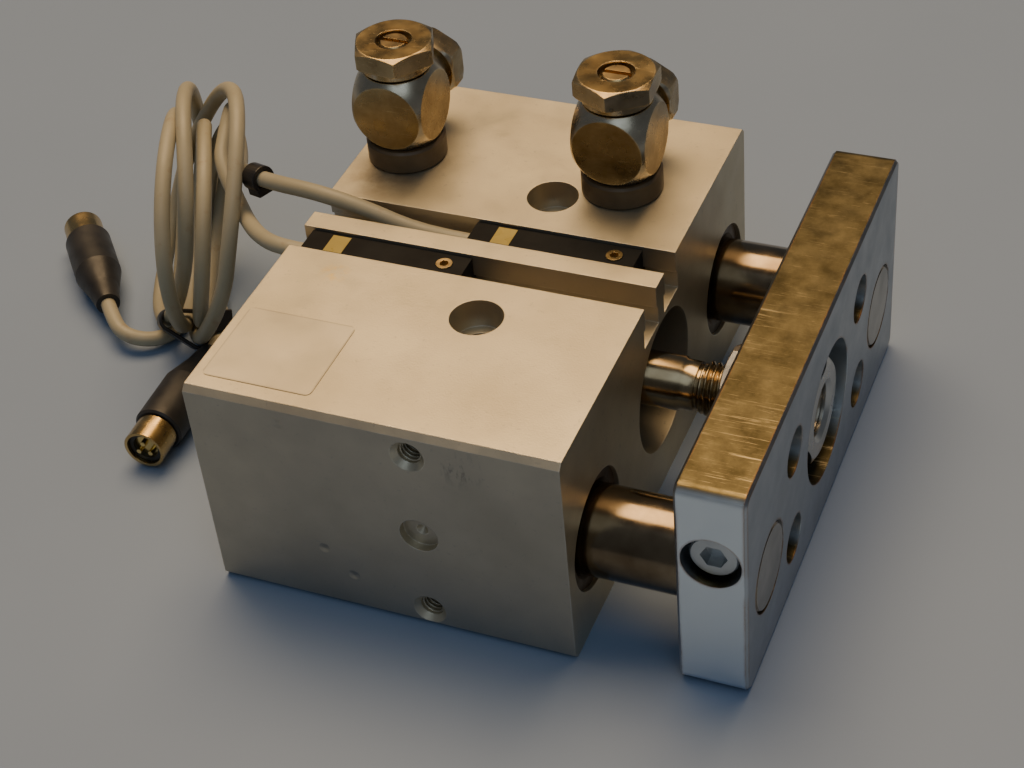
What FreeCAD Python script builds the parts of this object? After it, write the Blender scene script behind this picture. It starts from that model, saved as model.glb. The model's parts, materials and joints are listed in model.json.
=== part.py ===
import FreeCAD, Part
import math
import os
from FreeCAD import Vector, Placement, Rotation

# Guided pneumatic cylinder, millimetres. +X is the way the rod extends, +Y runs across the two guide
# rods, +Z is up. The origin is the centre of the housing's underside. The carriage (yoke plate, guide
# rods, piston rod and piston) is drawn 16 mm out of its 20 mm stroke.

# --- stroke ---
stroke = 20.0
extension = 16.0
closed_gap = 2.0

# --- housing block ---
housing_length = 67.5
housing_width = 98.0
housing_height = 45.0
edge_break = 1.1

# --- power cylinder in the middle of the housing ---
bore_radius = 12.5
cap_seat_radius = 13.5
bore_height = 22.5
front_recess_depth = 13.0
front_cap_length = 12.0
rear_recess_depth = 1.4
rear_cap_length = 4.8
circlip_thickness = 1.2
circlip_groove = 0.8
circlip_width = 2.6
cap_clearance = 0.03
o_ring_radius = 0.8
o_ring_bevel = 0.45
o_ring_groove = 2.2
buffer_thickness = 0.8
buffer_radius = 10.5
buffer_gap = 1.6
air_groove_place = 3.6
air_groove_width = 2.4
air_groove_depth = 1.2
air_notch_width = 3.0
air_notch_depth = 1.9
dish_depth = 0.8
clip_play = 0.1
clip_opening = 4.8
clip_ear_radius = 2.2
clip_ear_offset = 4.4
clip_ear_sink = 0.4
clip_hole_radius = 0.8
clip_hole_offset = 4.2
clip_hole_sink = 0.6

# --- piston and piston rod ---
rod_radius = 5.0
piston_length = 13.5
piston_clearance = 0.15
seal_clearance = 0.05
spigot_radius = 4.0
magnet_length = 3.0
seal_length = 2.2
wear_ring_length = 3.0
ring_depth = 2.4
piston_screw_radius = 3.0
thread_radius = 5.0
thread_core_radius = 4.2
collar_radius = 4.6
relief_radius = 4.1
collar_length = 2.6
relief_length = 0.6
thread_sink = 1.4
running_clearance = 0.05
rod_bush_wall = 1.0
rod_seal_length = 3.4
rod_seal_wall = 3.0
rod_bush_gap = 0.2
seal_lip_gap = 0.2
seal_lip_width = 1.4
seal_lip_depth = 1.2
shoulder_chamfer = 0.5
thread_start_chamfer = 0.6
thread_end_chamfer = 0.9
screw_head_length = 3.0
screw_head_sink = 0.4
screw_head_wall = 1.0
screw_head_gap = 0.6
screw_reach = 8.0
screw_hole_depth = 9.0
screw_socket_depth = 1.8
first_ring_land = 1.0
ring_land = 0.5
magnet_land = 0.4

# --- guide rods ---
guide_radius = 8.0
guide_spacing = 71.0
guide_height = 18.7
guide_inset = 0.5
guide_chamfer = 0.7
bush_wall = 2.0
bush_length = 20.0
bush_gap = 2.5
wiper_wall = 2.9
wiper_seat_depth = 3.6
wiper_length = 2.8
wiper_chamfer = 0.9

# --- sensor slots on top ---
slot_offset = 5.2
slot_mouth = 6.1
slot_lip = 4.4
slot_cavity = 7.6
slot_depth = 8.2

# --- holes in the housing ---
hole_station = 7.0
top_hole_spacing = 36.4
top_hole_radius = 2.75
top_sink_radius = 4.75
top_sink_depth = 5.7
centring_radius = 4.5
centring_depth = 2.1
side_thread_radius = 2.1
lower_thread_depth = 10.5
upper_thread_depth = 10.0
side_mouth_radius = 3.1
side_thread_pitch = 35.8
side_thread_height = 22.0
locating_radius = 3.5
locating_depth = 1.6
dimple_radius = 1.1

# --- yoke plate ---
yoke_thickness = 12.0
yoke_width = 95.6
yoke_height = 44.0
yoke_edge = 2.0
yoke_break = 0.5
yoke_recess_radius = 13.1
yoke_recess_depth = 8.5
payload_spacing_y = 42.0
payload_spacing_z = 20.0
payload_radius = 2.5
payload_sink_radius = 4.5
payload_sink_depth = 2.6
payload_drop = 1.0
rod_hole_gap = 0.3
nut_flats = 17.0
nut_chamfer_slope = 0.577
nut_mouth_slope = 1.8
nut_mouth_depth = 0.8
jam_nut_thickness = 5.8
front_nut_thickness = 7.6

# --- guide rod clamps in the ends of the yoke plate ---
clamp_height = 29.5
clamp_radius = 5.1
clamp_depth = 21.0
clamp_head_sink = 1.6
clamp_sleeve_length = 7.4
clamp_sleeve_gap = 0.1
clamp_screw_radius = 2.5
clamp_screw_gap = 0.6
clamp_hole_gap = 0.2
clamp_head_radius = 4.15
clamp_head_length = 3.2
clamp_head_edge = 0.3
socket_flats = 4.0
socket_depth = 2.2

# --- flow control valves ---
valve_station_rear = -24.7
valve_station_front = 18.3
valve_offset = 24.4
port_radius = 4.3
port_depth = 9.0
channel_radius = 1.5
valve_seal_radius = 7.5
valve_seal_height = 4.6
valve_seal_bevel = 0.4
valve_block = 14.0
valve_ball = 9.6
valve_body_height = 14.4
valve_bore_radius = 4.85
valve_gap = 0.1
stem_clearance = 0.05
stem_tip_gap = 2.0
stem_tip_edge = 0.4
collar_height = 1.9
valve_collar_radius = 6.5
collar_edge = 0.5
cap_flats = 14.0
cap_height = 3.6
cap_bevel = 0.6
cap_corner_break = 0.4
cap_lower_bevel = 0.3
needle_radius = 2.7
needle_recess_radius = 3.35
needle_recess_depth = 1.4
needle_length = 9.0
needle_sink = 0.2
needle_bore_spare = 0.5
needle_tip_radius = 0.6
needle_neck = 2.4
needle_neck_step = 0.9
needle_shoulder = 3.0
needle_edge = 0.3
cross_bore_length = 18.0
slot_width = 0.9
slot_cut = 1.0
outlet_radius = 5.0
union_flats = 12.0
union_start = 10.4
union_length = 10.8
union_bore_radius = 4.2
neck_reach = 1.2
neck_seat_reach = 2.2
neck_bore_reach = 3.0
nipple_radius = 2.4
nipple_bore_radius = 1.5
nipple_sink = 2.0
nipple_short = 0.8
nipple_barb = 3.0
nipple_barb_rise = 0.3
nipple_barb_slope = 0.4
nipple_tip_step = 0.5
cap_turn_rear = -67.0
cap_turn_front = -86.0

# --- sensors in the slots ---
sensor_length = 31.4
sensor_start_near = -31.9
sensor_start_far = -3.7
sensor_top_gap = 0.6
sensor_width = 5.7
sensor_foot_width = 7.0
sensor_foot_height = 3.0
sensor_foot_bevel = 1.0
window_inset = 4.4
window_length = 3.6
window_margin = 0.5
window_height = 0.25
window_proud = 0.1
set_screw_inset = 4.2
set_screw_radius = 1.5
set_screw_flats = 1.5
set_screw_gap = 0.05
set_screw_step = 0.2
set_screw_socket = 1.2

# --- rating label on top ---
label_length = 20.4
label_width = 18.6
label_thickness = 0.12
label_corner = 1.2
label_station = -21.9
label_offset = -35.8

# --- sensor cables, plugs and their coil ---
cable_radius = 1.55
cable_lead_near = [(-31.9, -5.2, 41.4), (-38.0, -5.2, 41.4), (-44.5, -1.4, 40.8), (-50.4, 3.8, 39.4),
                   (-55.4, 9.6, 38.4)]
cable_lead_far = [(-3.7, 5.2, 41.8), (-14.0, 5.2, 41.8), (-24.5, 5.4, 45.0), (-35.0, 5.9, 46.6),
                  (-45.5, 8.1, 45.3), (-55.4, 12.0, 43.6)]
plug_lead_near = [(-72.6, 6.3, 3.0), (-79.2, 2.5, 3.8), (-86.7, 3.7, 5.0), (-91.6, 9.4, 5.0)]
plug_lead_far = [(-74.4, 19.9, 1.8), (-68.2, 16.0, 2.6), (-63.0, 9.0, 5.0), (-62.7, 1.0, 5.0)]
coil_base = Vector(-77.5, 18.0, 0.0)
coil_yaw = 113.6
coil_lean = 13.0
coil_fan = 7.5
coil_outer = 26.0
coil_inner = 16.0
coil_base_half = 3.8
coil_lift = 0.05
tie_width = 3.4
tie_wall = 0.9
tie_angle = 215.0
tie_reach = 4.0
tie_side_gap = 0.3
tie_gap = 0.6
tie_head_size = (5.0, 4.4, 4.6)
tie_head_back = 1.0
tie_tail_length = 9.0
tie_tail_inset = 0.6
tie_tail_wall = 1.2
lead_tie_gap = 0.1
lead_tie_half_width = 1.8
lead_tie_place = 0.43
lead_tie_wall = 1.1
plug_near_turn = 131.0
plug_far_turn = -87.9
plug_height = 5.0
boot_radius = 2.5
boot_end_radius = 3.3
boot_length = 5.0
plug_cone_length = 6.0
plug_radius = 4.85
plug_body_length = 12.5
sleeve_radius = 4.1
sleeve_bore = 3.5
sleeve_length = 5.6
sleeve_gap = 0.25
plug_edge = 0.4
socket_wall_gap = 0.1
socket_wall_step = 0.8
insert_seat = 1.0
insert_radius = 2.6
insert_step = 3.2
pin_radius = 0.5
pin_circle = 1.4
pin_length = 2.6

# --- derived places ---
X = Vector(1, 0, 0)
Y = Vector(0, 1, 0)
Z = Vector(0, 0, 1)
front = housing_length / 2
rear = -front
side = housing_width / 2
top = housing_height
guide_offset = guide_spacing / 2
cap_face = front - front_recess_depth
chamber_front = cap_face - front_cap_length
chamber_rear = rear + rear_recess_depth + circlip_thickness + rear_cap_length
yoke_back = front + closed_gap + extension
yoke_front = yoke_back + yoke_thickness
yoke_centre = yoke_back + yoke_thickness / 2
yoke_base = (housing_height - yoke_height) / 2
piston_front = chamber_front - buffer_thickness - (stroke - extension)
piston_rear = piston_front - piston_length
jam_nut_back = yoke_back - jam_nut_thickness
rod_shoulder = cap_face + extension + 1.0
nut_seat = yoke_front - yoke_recess_depth
rod_end = nut_seat + front_nut_thickness - thread_sink
clamp_screw_length = clamp_depth - clamp_head_sink - clamp_head_length - clamp_screw_gap
screw_seat = piston_rear + screw_head_sink + screw_head_length


def cylinder(radius, start, length, direction):
    return Part.makeCylinder(radius, length, start, direction)


def along_x(radius, start, end, y, z):
    return cylinder(radius, Vector(start, y, z), end - start, X)


def along_z(radius, x, y, start, end):
    return cylinder(radius, Vector(x, y, start), end - start, Z)


def box(x0, x1, y0, y1, z0, z1):
    return Part.makeBox(x1 - x0, y1 - y0, z1 - z0, Vector(x0, y0, z0))


def ring_x(outer, inner, start, end, y, z):
    return along_x(outer, start, end, y, z).cut(along_x(inner, start - 1, end + 1, y, z))


def hexagon(flats, length, start, direction, turn=0.0):
    """Hexagonal prism; turn is the angle of one corner about the direction, in degrees."""
    corner = flats / math.sqrt(3)
    angles = [math.radians(turn + 60 * i) for i in range(7)]
    wire = Part.makePolygon([Vector(corner * math.cos(a), corner * math.sin(a), 0) for a in angles])
    prism = Part.Face(wire).extrude(Vector(0, 0, length))
    prism.Placement = Placement(start, Rotation(Z, direction))
    return prism


def lathed_ring(profile, start, direction):
    """Solid of revolution from a closed loop of (distance along the axis, radius) points."""
    points = [Vector(radius, 0, along) for along, radius in profile]
    wire = Part.makePolygon(points + [points[0]])
    solid = Part.Face(wire).revolve(Vector(0, 0, 0), Z, 360)
    solid.Placement = Placement(start, Rotation(Z, direction))
    return solid


def turned(profile, start, direction):
    """Solid of revolution whose (distance, radius) outline is closed onto the axis."""
    return lathed_ring([(profile[0][0], 0)] + list(profile) + [(profile[-1][0], 0)], start, direction)


def placed(shape, place):
    """Moves a shape that was drawn about the origin to its place."""
    shape.Placement = place.multiply(shape.Placement)
    return shape


# ---------------------------------------------------------------- housing

def slot_cutter(y):
    mouth = box(rear - 1, front + 1, y - slot_mouth / 2, y + slot_mouth / 2, top - slot_lip - 1, top + 1)
    cavity = box(rear - 1, front + 1, y - slot_cavity / 2, y + slot_cavity / 2,
                 top - slot_depth, top - slot_lip)
    return mouth.fuse(cavity)


def side_hole_cutter(sign):
    face = Vector(hole_station, sign * side, 0)
    inward = Y * (-sign)
    shapes = []
    mouth_depth = side_mouth_radius - side_thread_radius
    half_pitch = side_thread_pitch / 2
    for offset, depth in ((-half_pitch, lower_thread_depth), (half_pitch, upper_thread_depth)):
        mouth = face + Z * (side_thread_height + offset)
        shapes.append(cylinder(side_thread_radius, mouth, depth, inward))
        shapes.append(Part.makeCone(side_mouth_radius, side_thread_radius, mouth_depth, mouth, inward))
    middle = face + Z * side_thread_height
    shapes.append(cylinder(locating_radius, middle, locating_depth, inward))
    shapes.append(Part.makeCone(dimple_radius, 0, dimple_radius, middle + inward * locating_depth, inward))
    return shapes


def port_cutter(x, target):
    port = along_z(port_radius, x, valve_offset, top - port_depth, top + 1)
    start = Vector(x, valve_offset, top - port_depth + channel_radius)
    way = target - start
    return port.fuse(cylinder(channel_radius, start, way.Length, way))


def housing():
    block = box(rear, front, -side, side, 0, top)
    long_edges = [e for e in block.Edges if abs(e.tangentAt(e.FirstParameter).x) > 0.9]
    block = block.makeChamfer(edge_break, long_edges)
    cuts = [slot_cutter(-slot_offset), slot_cutter(slot_offset)]
    cuts.append(along_x(bore_radius, chamber_rear - 1, chamber_front + 1, 0, bore_height))
    cuts.append(along_x(cap_seat_radius, chamber_front, front + 1, 0, bore_height))
    cuts.append(along_x(cap_seat_radius, rear - 1, chamber_rear, 0, bore_height))
    groove = cap_seat_radius + circlip_groove
    cuts.append(along_x(groove, cap_face, cap_face + circlip_thickness, 0, bore_height))
    clip_end = rear + rear_recess_depth
    cuts.append(along_x(groove, clip_end, clip_end + circlip_thickness, 0, bore_height))
    for sign in (-1, 1):
        y = sign * guide_offset
        cuts.append(along_x(guide_radius + bush_wall, rear - 1, front + 1, y, guide_height))
        seat = guide_radius + wiper_wall
        cuts.append(along_x(seat, front - wiper_seat_depth, front + 1, y, guide_height))
        hole_y = sign * top_hole_spacing / 2
        cuts.append(along_z(top_hole_radius, hole_station, hole_y, -1, top + 1))
        cuts.append(along_z(top_sink_radius, hole_station, hole_y, top - top_sink_depth, top + 1))
        cuts.append(along_z(centring_radius, hole_station, hole_y, -1, centring_depth))
        cuts += side_hole_cutter(sign)
    inner = Vector(0, bore_radius * 0.7, bore_height + bore_radius * 0.6)
    cuts.append(port_cutter(valve_station_rear, inner + X * valve_station_rear))
    cuts.append(port_cutter(valve_station_front, inner + X * (chamber_front + front_cap_length * 0.4)))
    return block.cut(cuts)


def guide_bushes():
    solids = []
    first_end = front - wiper_seat_depth
    for sign in (-1, 1):
        for end in (first_end, first_end - bush_length - bush_gap):
            solids.append(ring_x(guide_radius + bush_wall, guide_radius + running_clearance,
                                 end - bush_length, end, sign * guide_offset, guide_height))
    return Part.makeCompound(solids)


def guide_wipers():
    outer = guide_radius + wiper_wall
    inner = guide_radius + running_clearance
    profile = [(0, inner), (0, outer), (wiper_length, outer), (wiper_length, inner + wiper_chamfer),
               (wiper_length - wiper_chamfer, inner)]
    start = front - wiper_seat_depth
    return Part.makeCompound([lathed_ring(profile, Vector(start, sign * guide_offset, guide_height), X)
                              for sign in (-1, 1)])


def cap_groove(start):
    outer = cap_seat_radius + 1
    return ring_x(outer, cap_seat_radius - 2 * o_ring_radius - cap_clearance, start, start + o_ring_groove,
                  0, bore_height)


def front_cap():
    outer = cap_seat_radius - cap_clearance
    body = along_x(outer, chamber_front, cap_face, 0, bore_height)
    bush_outer = rod_radius + running_clearance + rod_bush_wall
    seal_outer = rod_radius + seal_clearance + rod_seal_wall
    cuts = [along_x(bush_outer, chamber_front - 1, cap_face + 1, 0, bore_height)]
    cuts.append(along_x(seal_outer, cap_face - rod_seal_length, cap_face + 1, 0, bore_height))
    groove = cap_groove(cap_face - rod_seal_length - o_ring_groove)
    air_start = chamber_front + air_groove_place
    air = ring_x(outer + 1, outer - air_groove_depth, air_start, air_start + air_groove_width, 0, bore_height)
    cuts += [groove, air]
    for turn in range(4):
        notch = box(chamber_front - 1, air_start + 1, -air_notch_width / 2, air_notch_width / 2,
                    outer - air_notch_depth, outer + 1)
        notch.rotate(Vector(0, 0, 0), X, 90 * turn + 45)
        notch.translate(Vector(0, 0, bore_height))
        cuts.append(notch)
    return body.cut(cuts)


def rear_cap():
    outer = cap_seat_radius - cap_clearance
    start = rear + rear_recess_depth + circlip_thickness
    body = along_x(outer, start, chamber_rear, 0, bore_height)
    groove = cap_groove(start + (rear_cap_length - o_ring_groove) / 2)
    dish = along_x(outer * 0.5, start - 1, start + dish_depth, 0, bore_height)
    return body.cut([groove, dish])


def circlip(start):
    """Internal circlip: an open ring with two drilled ears."""
    outer = cap_seat_radius + circlip_groove - clip_play
    inner = cap_seat_radius - circlip_width
    end = start + circlip_thickness
    ring = ring_x(outer, inner, start, end, 0, bore_height)
    half = clip_opening / 2
    opening = box(start - 1, end + 1, -half, half, bore_height, bore_height + outer + 1)
    ring = ring.cut(opening)
    for sign in (-1, 1):
        ear_height = bore_height + inner - clip_ear_sink
        ring = ring.fuse(along_x(clip_ear_radius, start, end, sign * clip_ear_offset, ear_height))
    for sign in (-1, 1):
        hole_height = bore_height + inner - clip_hole_sink
        ring = ring.cut(along_x(clip_hole_radius, start - 1, end + 1, sign * clip_hole_offset, hole_height))
    return ring


def cap_o_rings():
    front_middle = cap_face - rod_seal_length - o_ring_groove / 2
    rear_middle = rear + rear_recess_depth + circlip_thickness + rear_cap_length / 2
    outer = cap_seat_radius - cap_clearance
    inner = outer - 2 * o_ring_radius + cap_clearance
    flat = o_ring_radius - o_ring_bevel
    profile = [(-o_ring_radius, inner + o_ring_bevel), (-o_ring_radius, outer - o_ring_bevel),
               (-flat, outer), (flat, outer), (o_ring_radius, outer - o_ring_bevel),
               (o_ring_radius, inner + o_ring_bevel), (flat, inner), (-flat, inner)]
    return Part.makeCompound([lathed_ring(profile, Vector(x, 0, bore_height), X)
                              for x in (front_middle, rear_middle)])


def rod_bush():
    inner = rod_radius + running_clearance
    return ring_x(inner + rod_bush_wall, inner, chamber_front, cap_face - rod_seal_length - rod_bush_gap,
                  0, bore_height)


def rod_seal():
    inner = rod_radius + seal_clearance
    outer = inner + rod_seal_wall
    start = cap_face - rod_seal_length
    ring = ring_x(outer, inner, start, cap_face, 0, bore_height)
    lip_start = Vector(cap_face - seal_lip_depth, 0, bore_height)
    lip_inner = inner + seal_lip_gap
    lip = Part.makeCone(lip_inner, lip_inner + seal_lip_width, seal_lip_depth, lip_start, X)
    return ring.cut(lip)


def buffer(start):
    return ring_x(buffer_radius, rod_radius + buffer_gap, start, start + buffer_thickness, 0, bore_height)


def label():
    plate = box(label_station - label_length / 2, label_station + label_length / 2,
                label_offset - label_width / 2, label_offset + label_width / 2, top, top + label_thickness)
    upright = [e for e in plate.Edges if abs(e.tangentAt(e.FirstParameter).z) > 0.9]
    return plate.makeFillet(label_corner, upright)


# ---------------------------------------------------------------- carriage

def yoke_plate():
    plate = box(yoke_back, yoke_front, -yoke_width / 2, yoke_width / 2, yoke_base, yoke_base + yoke_height)
    long_edges = [e for e in plate.Edges if abs(e.tangentAt(e.FirstParameter).x) > 0.9]
    plate = plate.makeFillet(yoke_edge, long_edges)
    outline = [e for e in plate.Edges if abs(e.BoundBox.XMax - e.BoundBox.XMin) < 1e-6]
    plate = plate.makeChamfer(yoke_break, outline)
    cuts = [along_x(thread_radius + rod_hole_gap, yoke_back - 1, yoke_front + 1, 0, bore_height)]
    cuts.append(along_x(yoke_recess_radius, nut_seat, yoke_front + 1, 0, bore_height))
    for sign in (-1, 1):
        cuts.append(along_x(guide_radius, yoke_back - 1, yoke_front + 1, sign * guide_offset, guide_height))
        mouth = Vector(yoke_centre, sign * (yoke_width / 2 + 1), clamp_height)
        cuts.append(cylinder(clamp_radius, mouth, clamp_depth + 1, Y * (-sign)))
        for level in (-payload_spacing_z / 2, payload_spacing_z / 2):
            y = sign * payload_spacing_y / 2
            z = bore_height - payload_drop + level
            cuts.append(along_x(payload_radius, yoke_back - 1, yoke_front + 1, y, z))
            cuts.append(along_x(payload_sink_radius, yoke_front - payload_sink_depth, yoke_front + 1, y, z))
    return plate.cut(cuts)


def guide_rod(sign):
    start = rear + guide_inset + extension
    length = yoke_front - start
    profile = [(0, guide_radius - guide_chamfer), (guide_chamfer, guide_radius),
               (length - guide_chamfer, guide_radius), (length, guide_radius - guide_chamfer)]
    return turned(profile, Vector(start, sign * guide_offset, guide_height), X)


def clamp_axis_point(sign, depth):
    """Point on the clamp axis, a depth below the end face of the yoke plate."""
    return Vector(yoke_centre, sign * (yoke_width / 2 - depth), clamp_height)


def clamp_sleeves(sign):
    """Two sleeves whose hollowed sides press on the guide rod as the screw draws them together."""
    head_seat = clamp_head_sink + clamp_head_length
    outer_start = head_seat
    inner_start = clamp_depth - clamp_sleeve_length
    rod = along_x(guide_radius, yoke_back - 1, yoke_front + 1, sign * guide_offset, guide_height)
    solids = []
    loose = clamp_screw_radius + clamp_hole_gap
    for start, hole in ((outer_start, loose), (inner_start, clamp_screw_radius)):
        place = clamp_axis_point(sign, start)
        sleeve = cylinder(clamp_radius - clamp_sleeve_gap, place, clamp_sleeve_length, Y * (-sign))
        sleeve = sleeve.cut(cylinder(hole, place + Y * sign, clamp_sleeve_length + 2, Y * (-sign)))
        solids.append(sleeve.cut(rod))
    return solids


def clamp_screw(sign):
    start = clamp_axis_point(sign, clamp_head_sink)
    inward = Y * (-sign)
    head = turned([(0, clamp_head_radius - clamp_head_edge), (clamp_head_edge, clamp_head_radius),
                   (clamp_head_length, clamp_head_radius)], start, inward)
    shank = cylinder(clamp_screw_radius, start, clamp_screw_length, inward)
    socket = hexagon(socket_flats, socket_depth, start - inward * 0.001, inward)
    return head.fuse(shank).cut(socket)


def hex_nut(flats, thickness, start, direction, hole, turn):
    prism = hexagon(flats, thickness, start, direction, turn)
    reach = flats / math.sqrt(3)
    chamfer = reach - flats / 2
    slope = chamfer * nut_chamfer_slope
    shape = turned([(0, flats / 2), (slope, reach), (thickness - slope, reach), (thickness, flats / 2)],
                   start, direction)
    mouth = hole + nut_mouth_slope
    bore = turned([(-1, mouth), (nut_mouth_depth, hole), (thickness - nut_mouth_depth, hole),
                   (thickness + 1, mouth)], start, direction)
    return prism.common(shape).cut(bore)


def piston_rod():
    neck_start = rod_shoulder + collar_length
    thread_start = neck_start + relief_length
    profile = [(screw_seat, spigot_radius), (piston_front, spigot_radius), (piston_front, rod_radius),
               (rod_shoulder - shoulder_chamfer, rod_radius), (rod_shoulder, collar_radius),
               (neck_start, collar_radius), (neck_start, relief_radius), (thread_start, relief_radius),
               (thread_start + thread_start_chamfer, thread_radius),
               (rod_end - thread_end_chamfer, thread_radius), (rod_end, thread_core_radius)]
    rod = turned(profile, Vector(0, 0, bore_height), X)
    hole_end = screw_seat + screw_hole_depth
    return rod.cut(along_x(piston_screw_radius, screw_seat - 1, hole_end, 0, bore_height))


def ring_stations():
    """Start of each piston ring: seal, wear ring, magnet, seal, from the rear end of the piston."""
    first = piston_rear + first_ring_land
    wear = first + seal_length + ring_land
    magnet = wear + wear_ring_length + magnet_land
    last = magnet + magnet_length + ring_land
    return first, wear, magnet, last


def piston():
    outer = bore_radius - piston_clearance
    body = along_x(outer, piston_rear, piston_front, 0, bore_height)
    first, wear, magnet, last = ring_stations()
    cuts = [along_x(spigot_radius, screw_seat, piston_front + 1, 0, bore_height)]
    sink_radius = spigot_radius + screw_head_wall + screw_head_gap
    cuts.append(along_x(sink_radius, piston_rear - 1, screw_seat, 0, bore_height))
    for start, length in ((first, seal_length), (wear, wear_ring_length), (magnet, magnet_length),
                          (last, seal_length)):
        cuts.append(ring_x(outer + 1, outer - ring_depth, start, start + length, 0, bore_height))
    return body.cut(cuts)


def piston_ring(start, length, gap):
    return ring_x(bore_radius - gap, bore_radius - piston_clearance - ring_depth, start, start + length,
                  0, bore_height)


def piston_screw():
    start = piston_rear + screw_head_sink
    head = along_x(spigot_radius + screw_head_wall, start, screw_seat, 0, bore_height)
    shank = along_x(piston_screw_radius, start, screw_seat + screw_reach, 0, bore_height)
    socket = hexagon(socket_flats, screw_socket_depth, Vector(start - 0.001, 0, bore_height), X)
    return head.fuse(shank).cut(socket)


# ---------------------------------------------------------------- flow control valves

def valve_levels():
    seal_top = top + valve_seal_height
    body_start = seal_top + valve_gap
    body_end = body_start + valve_body_height
    collar_start = body_end + valve_gap
    cap_start = collar_start + collar_height
    return seal_top, body_start, body_end, collar_start, cap_start


def valve_seal(x):
    ring = along_z(valve_seal_radius, x, valve_offset, top, top + valve_seal_height)
    edges = [e for e in ring.Edges if abs(e.BoundBox.ZMax - e.BoundBox.ZMin) < 1e-6]
    ring = ring.makeChamfer(valve_seal_bevel, edges)
    return ring.cut(along_z(port_radius, x, valve_offset, top - 1, top + valve_seal_height + 1))


def valve_stem(x, turn):
    """Hollow banjo bolt with its hexagon cap; the needle screw sits in the recess on top."""
    seal_top, body_start, body_end, collar_start, cap_start = valve_levels()
    base = Vector(x, valve_offset, 0)
    shank_radius = valve_bore_radius - stem_clearance
    tip = top - port_depth + stem_tip_gap
    profile = [(tip, port_radius - stem_tip_edge), (tip + stem_tip_edge, port_radius),
               (seal_top, port_radius), (seal_top, shank_radius), (collar_start, shank_radius),
               (collar_start, valve_collar_radius - collar_edge),
               (collar_start + collar_edge, valve_collar_radius),
               (cap_start, valve_collar_radius)]
    stem = turned(profile, base, Z)
    start = base + Z * cap_start
    cap = hexagon(cap_flats, cap_height, start, Z, turn)
    reach = cap_flats / math.sqrt(3)
    keep = turned([(0, reach - cap_corner_break), (cap_lower_bevel, reach), (cap_height - cap_bevel, reach),
                   (cap_height, reach - 2 * cap_bevel)], start, Z)
    stem = stem.fuse(cap.common(keep))
    cap_end = cap_start + cap_height
    bottom = cap_end - needle_sink - needle_length
    bore_start = bottom - needle_bore_spare
    bore = along_z(needle_radius + running_clearance, x, valve_offset, bore_start, cap_end + 1)
    recess = along_z(needle_recess_radius, x, valve_offset, cap_end - needle_recess_depth, cap_end + 1)
    waterway = along_z(channel_radius, x, valve_offset, top - port_depth, cap_end)
    cross_start = base + Vector(-cross_bore_length / 2, 0, (body_start + body_end) / 2)
    cross = cylinder(channel_radius, cross_start, cross_bore_length, X)
    return stem.cut([bore, recess, waterway, cross])


def valve_needle(x):
    cap_end = valve_levels()[4] + cap_height
    end = cap_end - needle_sink
    start = end - needle_length
    profile = [(start, needle_tip_radius), (start + needle_neck, needle_radius - needle_neck_step),
               (start + needle_shoulder, needle_radius), (end - needle_edge, needle_radius),
               (end, needle_radius - needle_edge)]
    needle = turned(profile, Vector(x, valve_offset, 0), Z)
    slot = box(x - needle_radius - 1, x + needle_radius + 1, valve_offset - slot_width / 2,
               valve_offset + slot_width / 2, end - slot_cut, end + 1)
    return needle.cut(slot)


def valve_middle(x):
    body_start, body_end = valve_levels()[1:3]
    return Vector(x, valve_offset, (body_start + body_end) / 2)


def valve_body(x):
    """A cube with its corners turned off to a ball, bored for the stem, with the outlet neck."""
    body_start, body_end = valve_levels()[1:3]
    middle = valve_middle(x)
    half = valve_block / 2
    cube = box(x - half, x + half, valve_offset - half, valve_offset + half, body_start, body_end)
    ball = Part.makeSphere(valve_ball, middle, Z, -90, 90, 360)
    neck = cylinder(outlet_radius, middle, union_start + neck_reach, Y)
    body = cube.common(ball).fuse(neck)
    cavity = cylinder(nipple_radius, middle, union_start + neck_bore_reach, Y)
    return body.cut([along_z(valve_bore_radius, x, valve_offset, body_start - 1, body_end + 1), cavity])


def valve_union_nut(x):
    start = valve_middle(x) + Y * union_start
    nut = hex_nut(union_flats, union_length, start, Y, union_bore_radius, 0.0)
    seat = cylinder(outlet_radius, start - Y, neck_seat_reach, Y)
    return nut.cut(seat)


def valve_nipple(x):
    start = valve_middle(x) + Y * (union_start - nipple_sink)
    length = union_length - nipple_short
    barb = length - nipple_barb
    profile = [(0, nipple_radius), (barb, nipple_radius),
               (barb + nipple_barb_slope, nipple_radius + nipple_barb_rise),
               (length, nipple_radius - nipple_tip_step)]
    return turned(profile, start, Y).cut(cylinder(nipple_bore_radius, start - Y, length + 2, Y))


# ---------------------------------------------------------------- sensors

def window_box(start, y, upper):
    half = sensor_width / 2 - window_margin
    return box(start + window_inset, start + window_inset + window_length, y - half, y + half,
               top - sensor_top_gap - window_height, upper)


def sensor_body(start, y):
    end = start + sensor_length
    lip_base = top - slot_lip
    upper = box(start, end, y - sensor_width / 2, y + sensor_width / 2, lip_base - 1, top - sensor_top_gap)
    foot = box(start, end, y - sensor_foot_width / 2, y + sensor_foot_width / 2,
               lip_base - sensor_foot_height, lip_base)
    lower = [e for e in foot.Edges if abs(e.tangentAt(e.FirstParameter).x) > 0.9
             and e.BoundBox.ZMax < lip_base - 1]
    foot = foot.makeChamfer(sensor_foot_bevel, lower)
    body = upper.fuse(foot)
    screw_x = end - set_screw_inset
    level = top - sensor_top_gap
    cuts = [along_z(set_screw_radius + set_screw_gap, screw_x, y, top - slot_depth - 1, top + 1)]
    cuts.append(window_box(start, y, level + 1))
    return body.cut(cuts)


def sensor_window(start, y):
    return window_box(start, y, top - sensor_top_gap + window_proud)


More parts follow.
